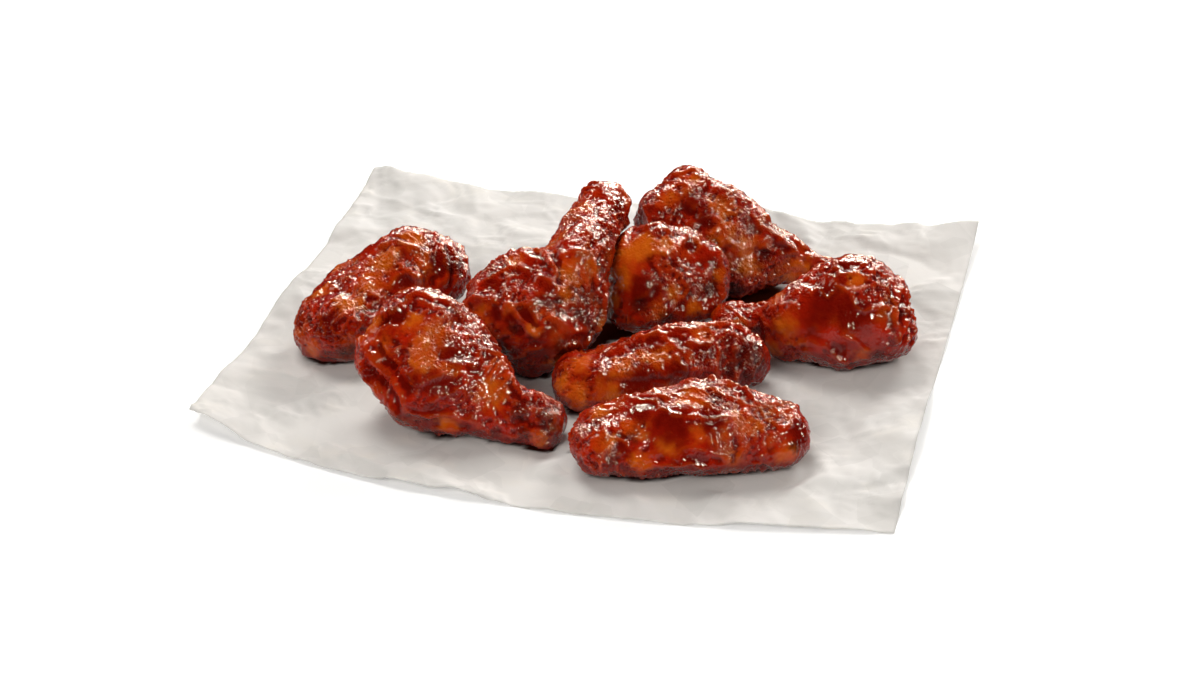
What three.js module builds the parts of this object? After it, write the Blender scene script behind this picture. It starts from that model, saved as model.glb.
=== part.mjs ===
// Eight glazed chicken wings on a crumpled sheet of baking paper: three flats, with two bones each, and
// five drumettes, thick at the shoulder and thin at the elbow. Millimetres, +Z up. The origin is on the
// table under the middle of the sheet, +X runs along the sheet's long edge and -Y towards its near edge.
import * as THREE from "three";

// ---- driving dimensions
const sheet = {
  nearLeft: [-118, -90],
  nearRight: [119, -95],
  farRight: [122, 105],
  farLeft: [-116, 94],
  nearBow: 18, // the near edge was torn off in a curve
  bowLean: 0.85, // under 1, the curve is fullest left of the middle
  edgeWave: 1.6,
  edgeWaves: 7,
  thickness: 0.4,
  columns: 30,
  rows: 26,
};
const skin = { rings: 27, sides: 24 }; // how finely a wing is faceted
const blend = 5; // how softly meat, bone and folds run into one another
const gap = 0.3; // air between two pieces that touch
const press = 3; // how far a wing's soft underside is pressed flat by the sheet
const skinLumps = { size: 9, height: 1.1 };
const search = { outside: 60, innermost: 1, steps: 60, stride: 0.8, close: 0.02 };
const flatGround = { clear: 2, fade: 24, flatHalf: 0.34, shoulder: 4 }; // where wings press the sheet flat

const degrees = Math.PI / 180;
const mix = (a, b, t) => a + (b - a) * t;
const clamp01 = (t) => Math.min(1, Math.max(0, t));
const smooth = (a, b, t) => {
  const s = clamp01((t - a) / (b - a));
  return s * s * (3 - 2 * s);
};

// ---- even, repeatable unevenness: a lattice of hashed values, smoothly interpolated
function hashed(x, y, z, seed) {
  const s = Math.sin(x * 127.1 + y * 311.7 + z * 74.7 + seed * 53.3) * 43758.5453;
  return s - Math.floor(s);
}

function noise(x, y, z, seed) {
  const [i, j, k] = [Math.floor(x), Math.floor(y), Math.floor(z)];
  const [u, v, w] = [x - i, y - j, z - k].map((t) => t * t * (3 - 2 * t));
  const corner = (a, b, c) => hashed(i + a, j + b, k + c, seed);
  const edge = (b, c) => mix(corner(0, b, c), corner(1, b, c), u);
  return mix(mix(edge(0, 0), edge(1, 0), v), mix(edge(0, 1), edge(1, 1), v), w) * 2 - 1;
}

// ---- forms: each gives a point's distance to its surface, negative inside
function muscle([x, y, z], [rx, ry, rz]) {
  return (p) => {
    const [dx, dy, dz] = [p.x - x, p.y - y, p.z - z];
    const near = Math.hypot(dx / rx, dy / ry, dz / rz);
    const steep = Math.hypot(dx / rx ** 2, dy / ry ** 2, dz / rz ** 2);
    return steep < 1e-9 ? -Math.min(rx, ry, rz) : (near * (near - 1)) / steep;
  };
}

function bone(from, to, startRadius, endRadius = startRadius) {
  const [a, b] = [new THREE.Vector3(...from), new THREE.Vector3(...to)];
  const along = b.clone().sub(a);
  const foot = new THREE.Vector3();
  return (p) => {
    const t = clamp01(foot.copy(p).sub(a).dot(along) / along.lengthSq());
    return foot.copy(a).addScaledVector(along, t).distanceTo(p) - mix(startRadius, endRadius, t);
  };
}

function blended(forms, softness) {
  return (p) =>
    forms.reduce((near, form) => {
      const d = form(p);
      const h = clamp01(0.5 + (0.5 * (near - d)) / softness);
      return mix(near, d, h) - softness * h * (1 - h);
    }, 1e3);
}

// ---- a skin wrapped round a form: rings along a spine, closed by a pole at each end
function wrapped(form, { from, to }, seed) {
  const { rings, sides } = skin;
  const [start, end] = [new THREE.Vector3(...from), new THREE.Vector3(...to)];
  const axis = end.clone().sub(start).normalize();
  const side = new THREE.Vector3(0, 1, 0).addScaledVector(axis, -axis.y).normalize();
  const up = axis.clone().cross(side);
  const length = end.distanceTo(start);

  // walks inwards from outside until it meets the form
  const surface = (origin, direction) => {
    const { outside, innermost, steps, stride, close } = search;
    const p = new THREE.Vector3();
    let r = outside;
    for (let step = 0; step < steps; step += 1) {
      const d = form(p.copy(origin).addScaledVector(direction, r));
      r -= d * stride;
      if (Math.abs(d) < close || r < innermost) break;
    }
    p.copy(origin).addScaledVector(direction, Math.max(r, innermost));
    const lump = noise(p.x / skinLumps.size, p.y / skinLumps.size, p.z / skinLumps.size, seed);
    return p.addScaledVector(direction, lump * skinLumps.height);
  };

  const [startReach, endReach] = [
    surface(start, axis.clone().negate()).distanceTo(start),
    surface(end, axis).distanceTo(end),
  ];
  const quarter = Math.PI / 2;
  const [startArc, endArc] = [startReach * quarter, endReach * quarter];
  const total = startArc + length + endArc;

  const vertices = [];
  const put = (p) => vertices.push(p.x, p.y, p.z);
  put(surface(start, axis.clone().negate()));
  for (let ring = 1; ring <= rings; ring += 1) {
    const s = (total * ring) / (rings + 1);
    const inStart = clamp01(s / startArc);
    const inEnd = clamp01((s - startArc - length) / endArc);
    const tilt = (inEnd - (1 - inStart)) * quarter;
    const origin = start.clone().addScaledVector(axis, Math.min(length, Math.max(0, s - startArc)));
    for (let k = 0; k < sides; k += 1) {
      const a = (k / sides) * 2 * Math.PI;
      const direction = side.clone().multiplyScalar(Math.cos(a)).addScaledVector(up, Math.sin(a));
      direction.multiplyScalar(Math.cos(tilt)).addScaledVector(axis, Math.sin(tilt));
      put(surface(origin, direction));
    }
  }
  put(surface(end, axis));

  const faces = [];
  const last = vertices.length / 3 - 1;
  for (let k = 0; k < sides; k += 1) {
    const next = (k + 1) % sides;
    faces.push(0, 1 + next, 1 + k);
    for (let ring = 0; ring < rings - 1; ring += 1) {
      const [a, b] = [1 + ring * sides, 1 + (ring + 1) * sides];
      faces.push(a + k, a + next, b + next, a + k, b + next, b + k);
    }
    const tail = 1 + (rings - 1) * sides;
    faces.push(tail + k, tail + next, last);
  }
  const geometry = new THREE.BufferGeometry();
  geometry.setAttribute("position", new THREE.Float32BufferAttribute(vertices, 3));
  geometry.setIndex(faces);
  geometry.computeVertexNormals();
  return geometry;
}

// A fold of skin: a rope laid through points on the surface.
function fold(points, radius) {
  const ropes = points.slice(1).map((point, k) => bone(points[k], point, radius));
  return (p) => Math.min(...ropes.map((rope) => rope(p)));
}

// ---- the two cuts of wing, along local X. A drumette runs from its meaty shoulder, at the origin, to the
// two knobs of its elbow. A flat runs from its elbow to its wrist, over two bones side by side. The meat
// and the folds that make each wing its own come in as extras.
function drumetteForm({ reach, girth, knuckle }, extras) {
  return blended(
    [
      muscle([0, 0, 0], [girth * 1.05, girth * 0.95, girth * 0.92]),
      muscle([-girth * 0.5, girth * 0.1, 0], [girth * 0.55, girth * 0.7, girth * 0.72]),
      bone([girth * 0.5, 0, 0], [reach, 0, 0], knuckle, knuckle * 0.78),
      muscle([reach, knuckle * 0.42, 0], [knuckle * 0.9, knuckle * 0.72, knuckle * 0.95]),
      muscle([reach + 1, -knuckle * 0.42, -1], [knuckle * 0.95, knuckle * 0.72, knuckle]),
      ...extras,
    ],
    blend,
  );
}

function flatForm({ length, width, height }, extras) {
  const [elbow, wrist] = [height * 0.5 - length / 2, length / 2 - height * 0.44];
  const [far, near] = [width * 0.22, -width * 0.22];
  return blended(
    [
      bone([elbow, far, 0], [wrist, far * 0.8, 0], height * 0.36, height * 0.32),
      bone([elbow, near, 0], [wrist, near * 0.8, 0], height * 0.4, height * 0.34),
      muscle([elbow, 0, 0], [height * 0.5, width * 0.34, height * 0.48]),
      muscle([wrist, 0, 0], [height * 0.44, width * 0.3, height * 0.42]),
      ...extras,
    ],
    blend,
  );
}

// ---- the wings. place is where the shoulder, or a flat's middle, stands on the sheet, and heading is the
// way the thin end points. A drumette with a positive pitch rests its thin end on the sheet.
const wings = [
  {
    name: "flat_left",
    kind: "flat",
    place: [-75, -15],
    heading: 60,
    pitch: -9,
    roll: -6,
    size: { length: 69, width: 36, height: 23 },
    extras: [
      // meat, thickest towards the wrist
      muscle([6, 0, 4], [22, 15, 13]),
      muscle([15, -2, 5], [11, 12, 13]),
      muscle([-8, 3, 2], [16, 15, 11]),
      muscle([-22, 2, -3], [14, 11, 8]),
      muscle([19, -15, -2], [8, 5.5, 7]),
      // gathered skin at the wrist, and one fold round the elbow
      fold([[9, -2, 17], [5, -8, 14], [6, -13, 8]], 2.2),
      fold([[23, -9, 10], [20, -13, 6], [18, -15, 0]], 2.4),
      fold([[-24, -2, 10], [-22, -12, 8], [-18, -15, 4]], 2.2),
    ],
  },
  {
    name: "drumette_front_left",
    kind: "drumette",
    place: [-38, -66],
    heading: -7,
    pitch: 13,
    roll: 0,
    size: { reach: 38, girth: 19, knuckle: 7.5 },
    extras: [
      // the high breast side, its far flank against the next wing, and the meat along the bone
      muscle([-11, 7, 10], [16, 12, 15]),
      muscle([-2, 13, 7], [14, 11, 12]),
      muscle([-18, -2, 2], [10, 12, 13]),
      muscle([8, 5, 3], [17, 11, 10]),
      muscle([-2, -4, -2], [14, 8, 9]),
      muscle([16, -3, -5], [18, 8, 7]),
      // the cut edge of the skin hangs down on the near side
      fold([[-23, -9, 6], [-19, -12, 2], [-12, -14, -3], [-6, -16, -5], [-5, -13, -12]], 2.6),
      fold([[-21, -1, 15], [-18, 3, 18], [-15, 6, 21]], 2.2),
      fold([[18, 5, 10], [25, 1, 7], [30, -1, 6], [35, -1, 6]], 2),
      fold([[2, -12, -12], [8, -11, -11], [16, -11, -6]], 2.6),
    ],
  },
  {
    name: "drumette_raised",
    kind: "drumette",
    place: [-16, -24],
    heading: 77,
    pitch: -22,
    roll: 0,
    size: { reach: 52.5, girth: 17, knuckle: 7.3 },
    extras: [
      // a round muscle on the far left, a broad web of skin on the right and the meat along the bone
      muscle([-2, 13, 5], [15, 12, 11]),
      muscle([7, 5, 3], [15, 13, 12]),
      muscle([5, -13, -4], [16, 7, 12]),
      muscle([22, -7, 5], [15, 10, 12]),
      muscle([38, -5, 3], [13, 8, 8]),
      muscle([36, 1, 2], [15, 6.3, 7]),
      // the lower condyle of the joint
      muscle([51, -6, 0], [5, 5.5, 5]),
      muscle([-10, -2, -11], [9, 9, 8]),
      // a collar round the muscle, a lip of skin below it, and the web's rolled edge
      fold([[9, 15, 12], [13, 7, 14], [10, -2, 14], [5, -8, 12]], 2.4),
      fold([[-10, 6, 13], [-12, -2, 11], [-13, -7, 7], [-12, -10, 5]], 2.4),
      fold([[-10, 12, 12], [-14, 12, 9], [-16, 7, 7]], 2.6),
      fold([[20, -16, 6], [16, -18, -2], [12, -17, -10], [4, -18, -10]], 2.2),
    ],
  },
  {
    name: "drumette_centre",
    kind: "drumette",
    place: [20, 12],
    heading: 128,
    pitch: 15,
    roll: 0,
    size: { reach: 37, girth: 16, knuckle: 6.5 },
    extras: [
      // the cut end is full all round, highest on the left
      muscle([0, 2, 10], [15, 16, 12]),
      muscle([-3, -12, 2], [13, 11, 15]),
      muscle([-2, 9, 3], [12, 11, 11]),
      muscle([-2, 11, -6], [12, 12, 7]),
      muscle([-6, -6, -5], [12, 11, 8]),
      // a flap of skin standing up on the right, a peak on top and a curl over the cut
      fold([[-10, -17, 12], [-14, -17, 6], [-14, -18, -1], [-13, -16, -6]], 1.9),
      fold([[-4, 4, 21], [-4, -1, 22], [-6, -4, 20]], 2),
      fold([[-14, 3, 11], [-15, -3, 7], [-14, -8, 7], [-12, -12, 11]], 2.4),
    ],
  },
  {
    name: "drumette_back",
    kind: "drumette",
    place: [32, 47],
    heading: 3,
    pitch: 20,
    roll: 0,
    size: { reach: 47, girth: 16, knuckle: 6.5 },
    extras: [
      // two knobs high on the left, and a broad near side
      muscle([-14, 5, 5], [9, 9, 10]),
      muscle([-16, 7, 9], [7, 7, 6]),
      muscle([-20, -3, -3], [9, 10, 10]),
      muscle([3, 0, 3], [17, 11, 11]),
      muscle([20, -2, -2], [14, 9, 11]),
      muscle([11, -9, -9], [12, 9, 9]),
      // the skin's ridge along the top, a ledge where the bone begins, and a fold over the shoulder
      fold([[-7, 3, 14], [3, 0, 15], [13, 0, 12]], 2.2),
      fold([[17, -5, 9], [26, -2, 8], [36, 0, 5]], 2),
      fold([[-26, -5, 2], [-21, -3, 6], [-15, -4, 8]], 3),
    ],
  },
  {
    name: "drumette_right",
    kind: "drumette",
    place: [86, 8],
    heading: -167,
    pitch: 6,
    roll: 0,
    size: { reach: 39, girth: 20, knuckle: 6 },
    extras: [
      muscle([-5, 0, 6], [12, 14, 14]),
      muscle([-15, 2, -7], [9, 12, 10]),
      muscle([12, 4, 3], [17, 10, 10]),
      muscle([13, 3, -7], [17, 8, 7]),
      // the collar of skin round the cut end, one fold low on the near side and one on top
      fold([[-20, -6, 6], [-18, 8, 6], [-17, 13, 1], [-16, 14, -7]], 2.2),
      fold([[22, 9, -8], [14, 14, -4], [6, 17, -5], [2, 13, -13]], 2),
      fold([[0, 0, 19], [-3, 6, 17], [-9, 4, 17]], 2.4),
    ],
  },
  {
    name: "flat_middle",
    kind: "flat",
    place: [26, -31],
    heading: 31,
    pitch: -4,
    roll: 5,
    size: { length: 66, width: 26, height: 17 },
    extras: [
      muscle([10, -1, 4], [19, 13, 9]),
      muscle([-8, 1, 0], [16, 12, 8]),
      muscle([28, -7, 1], [12, 10, 10]),
      // the ridge of the skin, and the puckered wrist
      fold([[-1, 4, 10], [11, 1, 12], [25, -1, 11], [31, -7, 10]], 2.2),
      fold([[30, -11, 9], [33, -13, 6], [34, -15, 1]], 2.4),
      fold([[-22, -6, 7], [-9, -8, 7], [7, -13, 7]], 1.8),
    ],
  },
  {
    name: "flat_front",
    kind: "flat",
    place: [48.5, -71],
    heading: 16,
    pitch: 0,
    roll: 4,
    size: { length: 77, width: 32, height: 19 },
    extras: [
      muscle([3, 3, 3], [22, 17, 13]),
      muscle([18, 4, 1], [17, 16, 11]),
      muscle([-14, 1, 1], [15, 14, 11]),
      // the long ridge, the groove between the bones below it, and the ring round the elbow's end
      fold([[-30, 6, 7], [-15, 5, 12], [-1, 6, 15], [12, 6, 14], [25, 5, 11]], 2),
      fold([[-13, -4, 12], [-1, -7, 12], [12, -6, 11]], 2),
      fold([[-17, -13, -1], [-1, -14, 3], [14, -12, 0]], 2.2),
      fold([[-30, -10, 6], [-32, -11, 2], [-29, -13, -1]], 2.4),
    ],
  },
];

// ---- the sheet: pressed flat under the wings, gently folded between them and lifted along its edges
const lifts = [
  { at: [-121, -103], reach: 62, height: 7 },
  { at: [-20, -103], reach: 22, height: 2.5 },
  { at: [121, -40], reach: 46, height: 6 },
  { at: [121, -103], reach: 36, height: 4 },
  { at: [121, 103], reach: 50, height: 7 },
  { at: [-121, 103], reach: 46, height: 5 },
  { at: [30, 103], reach: 40, height: 3 },
];
const folds = [
  { heading: 20, spacing: 61, height: 0.9, shift: 0.2 },
  { heading: 74, spacing: 47, height: 0.8, shift: 0.6 },
  { heading: 128, spacing: 38, height: 0.7, shift: 0.35 },
];

function groundLine({ kind, place, heading, size }) {
  const [c, s] = [Math.cos(heading * degrees), Math.sin(heading * degrees)];
  const half = size.length * flatGround.flatHalf;
  const [back, front] = kind === "drumette" ? [-flatGround.shoulder, size.reach] : [-half, half];
  const at = (t) => [place[0] + c * t, place[1] + s * t];
  return { from: at(back), to: at(front), radius: kind === "drumette" ? size.girth : size.width / 2 };
}

function clearOfWings(x, y) {
  return Math.min(
    ...wings.map((wing) => {
      const { from, to, radius } = groundLine(wing);
      const [ax, ay] = [to[0] - from[0], to[1] - from[1]];
      const t = clamp01(((x - from[0]) * ax + (y - from[1]) * ay) / (ax * ax + ay * ay));
      return Math.hypot(x - from[0] - ax * t, y - from[1] - ay * t) - radius;
    }),
  );
}

function sheetRise(x, y) {
  const free = smooth(flatGround.clear, flatGround.clear + flatGround.fade, clearOfWings(x, y));
  const lifted = lifts.reduce((sum, { at, reach, height }) => {
    const near = 1 - Math.hypot(x - at[0], y - at[1]) / reach;
    return sum + (near > 0 ? height * near * near : 0);
  }, 0);
  const folded = folds.reduce((sum, { heading, spacing, height, shift }) => {
    const t = (x * Math.cos(heading * degrees) + y * Math.sin(heading * degrees)) / spacing + shift;
    const saw = Math.abs(2 * (t - Math.floor(t)) - 1);
    return sum + height * saw * saw;
  }, 0);
  return free * (lifted + folded);
}

function sheetPoint(u, v) {
  const across = (k) => {
    const near = mix(sheet.nearLeft[k], sheet.nearRight[k], u);
    return mix(near, mix(sheet.farLeft[k], sheet.farRight[k], u), v);
  };
  const wave = (t, seed) => sheet.edgeWave * noise(t * sheet.edgeWaves, 0.5, 0.5, seed);
  const bow = sheet.nearBow * Math.sin(u ** sheet.bowLean * Math.PI);
  const x = across(0) + mix(wave(v, 1), wave(v, 2), u);
  const y = across(1) + mix(wave(u, 3) - bow, wave(u, 4), v);
  return [x, y];
}

function sheetGeometry() {
  const { columns, rows, thickness } = sheet;
  const vertices = [];
  [thickness, 0].forEach((above) => {
    for (let j = 0; j <= rows; j += 1) {
      for (let i = 0; i <= columns; i += 1) {
        const [x, y] = sheetPoint(i / columns, j / rows);
        vertices.push(x, y, sheetRise(x, y) + above);
      }
    }
  });
  const under = (columns + 1) * (rows + 1);
  const faces = [];
  for (let j = 0; j < rows; j += 1) {
    for (let i = 0; i < columns; i += 1) {
      const a = j * (columns + 1) + i;
      const [b, c, d] = [a + 1, a + columns + 2, a + columns + 1];
      faces.push(a, b, c, a, c, d);
      faces.push(under + a, under + c, under + b, under + a, under + d, under + c);
    }
  }
  const rim = [];
  for (let i = 0; i < columns; i += 1) rim.push(i);
  for (let j = 0; j < rows; j += 1) rim.push(j * (columns + 1) + columns);
  for (let i = columns; i > 0; i -= 1) rim.push(rows * (columns + 1) + i);
  for (let j = rows; j > 0; j -= 1) rim.push(j * (columns + 1));
  rim.forEach((a, k) => {
    const b = rim[(k + 1) % rim.length];
    faces.push(a, under + a, under + b, a, under + b, b);
  });
  const geometry = new THREE.BufferGeometry();
  geometry.setAttribute("position", new THREE.Float32BufferAttribute(vertices, 3));
  geometry.setIndex(faces);
  geometry.computeVertexNormals();
  return geometry;
}

// ---- a wing set down on the sheet: lowered until its underside is pressed flat
function settle(mesh) {
  mesh.updateMatrixWorld(true);
  const position = mesh.geometry.getAttribute("position");
  const p = new THREE.Vector3();
  const floorAt = (q) => sheetRise(q.x, q.y) + sheet.thickness + gap;
  const world = [];
  let clearance = Infinity;
  for (let i = 0; i < position.count; i += 1) {
    p.fromBufferAttribute(position, i).applyMatrix4(mesh.matrixWorld);
    world.push(p.clone());
    clearance = Math.min(clearance, p.z - floorAt(p));
  }
  const drop = clearance + press;
  mesh.position.z -= drop;
  mesh.updateMatrixWorld(true);
  const toLocal = mesh.matrixWorld.clone().invert();
  world.forEach((q, i) => {
    q.z = Math.max(q.z - drop, floorAt(q));
    q.applyMatrix4(toLocal);
    position.setXYZ(i, q.x, q.y, q.z);
  });
  mesh.geometry.computeVertexNormals();
}

// ---- materials
const glaze = new THREE.MeshStandardMaterial({ color: 0x7a1e0c, roughness: 0.22, metalness: 0 });
const paper = new THREE.MeshStandardMaterial({ color: 0xdedbd4, roughness: 0.85, metalness: 0 });

function makeWing({ name, kind, place, heading, pitch, roll, size, extras }, index) {
  const isDrumette = kind === "drumette";
  const form = isDrumette ? drumetteForm(size, extras) : flatForm(size, extras);
  const spine = isDrumette
    ? { from: [-size.girth * 0.15, 0, 0], to: [size.reach, 0, 0] }
    : { from: [(size.height - size.length) / 2, 0, 0], to: [(size.length - size.height) / 2, 0, 0] };
  const mesh = new THREE.Mesh(wrapped(form, spine, index + 1), glaze);
  mesh.name = name;
  mesh.position.set(place[0], place[1], 0);
  mesh.rotation.set(roll * degrees, pitch * degrees, heading * degrees, "ZYX");
  settle(mesh);
  return mesh;
}

const serving = new THREE.Group();
const liner = new THREE.Mesh(sheetGeometry(), paper);
liner.name = "paper_sheet";
serving.add(liner, ...wings.map(makeWing));

// the origin goes to the middle of the underside
const bounds = new THREE.Box3().setFromObject(serving, true);
serving.position.set(-(bounds.min.x + bounds.max.x) / 2, -(bounds.min.y + bounds.max.y) / 2, -bounds.min.z);

export default serving;
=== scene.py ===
import math
import random

import bmesh
import bpy
import numpy as np
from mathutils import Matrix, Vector
from mathutils.bvhtree import BVHTree


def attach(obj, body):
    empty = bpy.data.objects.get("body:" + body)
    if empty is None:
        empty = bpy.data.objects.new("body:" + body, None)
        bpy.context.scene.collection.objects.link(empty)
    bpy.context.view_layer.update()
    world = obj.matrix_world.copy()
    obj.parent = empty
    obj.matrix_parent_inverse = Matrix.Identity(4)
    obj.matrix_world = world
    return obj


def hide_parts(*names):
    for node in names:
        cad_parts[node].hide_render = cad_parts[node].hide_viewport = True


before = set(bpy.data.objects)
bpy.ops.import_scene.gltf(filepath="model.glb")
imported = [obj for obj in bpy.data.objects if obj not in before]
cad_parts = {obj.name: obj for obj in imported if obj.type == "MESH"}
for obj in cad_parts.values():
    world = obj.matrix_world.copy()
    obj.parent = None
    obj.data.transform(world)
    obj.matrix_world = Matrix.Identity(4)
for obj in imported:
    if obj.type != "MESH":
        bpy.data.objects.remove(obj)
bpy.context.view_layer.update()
print("frame loaded")

mm = 0.001

camera = {
    "aim": (-0.7, 0.4, 0.0),  # mm, what the middle of the view looks at
    "distance": 850,
    "azimuth": 14.5,
    "elevation": 31.0,
    "lens": 72.0,
    "sensor": 36.0,
    "range": (0.01, 20),  # m, the nearest and farthest that it sees
    "view": (1200, 675),  # points across and down, from the upper left corner
}


def placeCamera(settings):
    turn, rise = math.radians(settings["azimuth"]), math.radians(settings["elevation"])
    aim = Vector(settings["aim"]) * mm
    away = Vector((math.sin(turn) * math.cos(rise), -math.cos(turn) * math.cos(rise), math.sin(rise)))
    data = bpy.data.cameras.new("camera")
    data.lens = settings["lens"]
    data.sensor_width = settings["sensor"]
    data.clip_start, data.clip_end = settings["range"]
    item = bpy.data.objects.new("camera", data)
    item.location = aim + away * settings["distance"] * mm
    item.rotation_euler = (-away).to_track_quat("-Z", "Y").to_euler()
    bpy.context.collection.objects.link(item)
    bpy.context.scene.camera = item


lampColours = {"light": (1.0, 0.985, 0.96), "gloss": (1.0, 0.885, 0.71)}
lamps = {  # in mm and W; some light the serving, others only show in its gloss
    "key": {"at": (-950, 950, 2250), "size": (1200, 1000), "power": 34, "in": "light"},
    "back": {"at": (600, 2000, 1250), "size": (1000, 420), "power": 31, "in": "light"},
    "rim": {"at": (900, 2300, 380), "size": (2600, 520), "power": 9, "in": "light"},
    "front": {"at": (-500, -1850, 1500), "size": (1500, 900), "power": 26, "in": "light"},
    "right": {"at": (2100, -200, 1500), "size": (1200, 1200), "power": 13, "in": "light"},
    "wideGlow": {"at": (0, 1900, 1500), "size": (3000, 1300), "power": 17, "in": "gloss"},
    "leftGlow": {"at": (-2300, 300, 900), "size": (1200, 900), "power": 13, "in": "gloss"},
    "stripLeft": {"at": (-1150, 1500, 1500), "size": (400, 240), "power": 30, "in": "gloss"},
    "stripBack": {"at": (-250, 2150, 1000), "size": (640, 220), "power": 55, "in": "gloss"},
    "stripRight": {"at": (1050, 1800, 1150), "size": (460, 260), "power": 44, "in": "gloss"},
    "stripHigh": {"at": (350, 1250, 2000), "size": (400, 170), "power": 30, "in": "gloss"},
    "stripLow": {"at": (300, 2450, 150), "size": (1400, 130), "power": 20, "in": "gloss"},
    "stripSide": {"at": (1950, -350, 900), "size": (360, 400), "power": 39, "in": "gloss"},
    "sparkle": {"at": (1160, -1900, 700), "size": (200, 160), "power": 25, "in": "gloss"},
}


def placeLamp(name, settings):
    data = bpy.data.lights.new(name, "AREA")
    data.shape = "RECTANGLE"
    data.size, data.size_y = (side * mm for side in settings["size"])
    data.energy = settings["power"]
    data.color = lampColours[settings["in"]]
    item = bpy.data.objects.new(name, data)
    item.location = Vector(settings["at"]) * mm
    item.rotation_euler = (-item.location).to_track_quat("-Z", "Y").to_euler()
    item.visible_diffuse = settings["in"] == "light"
    item.visible_glossy = settings["in"] == "gloss"
    bpy.context.collection.objects.link(item)


surroundings = {"lights": 0.165, "mirrored": 0.012, "seen": 1.0}


def makeWorld(settings):  # white to look at, dark in the gloss, soft on everything else
    world = bpy.data.worlds.new("studio")
    world.use_nodes = True
    tree = world.node_tree
    tree.nodes.clear()
    out = tree.nodes.new("ShaderNodeOutputWorld")
    rays = tree.nodes.new("ShaderNodeLightPath")
    light = {}
    for name, strength in settings.items():
        light[name] = tree.nodes.new("ShaderNodeBackground")
        light[name].inputs["Color"].default_value = (1, 1, 1, 1)
        light[name].inputs["Strength"].default_value = strength
    inGloss = tree.nodes.new("ShaderNodeMixShader")
    tree.links.new(rays.outputs["Is Glossy Ray"], inGloss.inputs["Fac"])
    tree.links.new(light["lights"].outputs[0], inGloss.inputs[1])
    tree.links.new(light["mirrored"].outputs[0], inGloss.inputs[2])
    toCamera = tree.nodes.new("ShaderNodeMixShader")
    tree.links.new(rays.outputs["Is Camera Ray"], toCamera.inputs["Fac"])
    tree.links.new(inGloss.outputs[0], toCamera.inputs[1])
    tree.links.new(light["seen"].outputs[0], toCamera.inputs[2])
    tree.links.new(toCamera.outputs[0], out.inputs["Surface"])
    bpy.context.scene.world = world


placeCamera(camera)
for lampName, lampSettings in lamps.items():
    placeLamp(lampName, lampSettings)
makeWorld(surroundings)
bpy.context.scene.view_settings.view_transform = "Standard"
bpy.context.scene.view_settings.look = "None"
print("camera and lights placed")

# Unevenness that comes out alike each time, worked out for whole arrays of points in mm.


def hashed(i, j, k, seed):  # a value from -1 to 1 for each cell, as if drawn by chance
    h = (i * 73856093) ^ (j * 19349663) ^ (k * 83492791) ^ (seed * 40503 + 9176)
    h &= 0xFFFFFFFF
    h = ((h ^ (h >> 15)) * 0x2C1B3C6D) & 0xFFFFFFFF
    h = ((h ^ (h >> 12)) * 0x297A2D39) & 0xFFFFFFFF
    h ^= h >> 15
    return (h & 0xFFFF) / 32767.5 - 1.0


def lumps(points, size, seed):  # smooth noise, about -1 to 1
    q = points / size
    cell = np.floor(q).astype(np.int64)
    f = q - cell
    w = f * f * f * (f * (f * 6 - 15) + 10)
    total = np.zeros(len(points))
    for a in (0, 1):
        for b in (0, 1):
            for c in (0, 1):
                i, j, k = cell[:, 0] + a, cell[:, 1] + b, cell[:, 2] + c
                slope = (
                    hashed(i, j, k, seed) * (f[:, 0] - a)
                    + hashed(i, j, k, seed + 101) * (f[:, 1] - b)
                    + hashed(i, j, k, seed + 202) * (f[:, 2] - c)
                )
                share = (
                    (w[:, 0] if a else 1 - w[:, 0])
                    * (w[:, 1] if b else 1 - w[:, 1])
                    * (w[:, 2] if c else 1 - w[:, 2])
                )
                total += slope * share
    return total * 1.5


def pimples(points, size, seed):  # distance to the nearest and the second nearest seed, in cells
    q = points / size
    cell = np.floor(q).astype(np.int64)
    nearest = np.full(len(points), 9.0)
    second = np.full(len(points), 9.0)
    for a in (-1, 0, 1):
        for b in (-1, 0, 1):
            for c in (-1, 0, 1):
                i, j, k = cell[:, 0] + a, cell[:, 1] + b, cell[:, 2] + c
                dx = i + 0.5 + 0.42 * hashed(i, j, k, seed) - q[:, 0]
                dy = j + 0.5 + 0.42 * hashed(i, j, k, seed + 11) - q[:, 1]
                dz = k + 0.5 + 0.42 * hashed(i, j, k, seed + 23) - q[:, 2]
                d = np.sqrt(dx * dx + dy * dy + dz * dz)
                second = np.minimum(second, np.maximum(d, nearest))
                nearest = np.minimum(nearest, d)
    return nearest, second


skew = 0.366  # turns a grid of squares into one of even triangles


def facets(points, size, seed):  # flat triangles meeting in sharp folds, about -1 to 1
    skewed = points[:, :2] / size + skew * (points[:, 0] + points[:, 1])[:, None] / size
    cell = np.floor(skewed).astype(np.int64)
    u, v = (skewed - cell).T
    i, j = cell.T
    k = np.zeros_like(i)
    across = (u > v).astype(np.int64)
    near, far = hashed(i, j, k, seed), hashed(i + 1, j + 1, k, seed)
    side = hashed(i + across, j + 1 - across, k, seed)
    return near * (1 - np.maximum(u, v)) + side * np.abs(u - v) + far * np.minimum(u, v)


def ramp(low, high, value):  # 0 to 1, with soft ends
    t = np.clip((value - low) / (high - low), 0, 1)
    return t * t * (3 - 2 * t)


def toLine(points, line):  # distance to a line drawn through a few places
    best = np.full(len(points), 1e9)
    for a, b in zip(line[:-1], line[1:]):
        t = np.clip((points - a) @ (b - a) / max((b - a) @ (b - a), 1e-9), 0, 1)
        best = np.minimum(best, np.linalg.norm(points - (a + t[:, None] * (b - a)), axis=1))
    return best


def readPoints(mesh):
    flat = np.empty(len(mesh.vertices) * 3)
    mesh.vertices.foreach_get("co", flat)
    return flat.reshape(-1, 3) / mm


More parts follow.
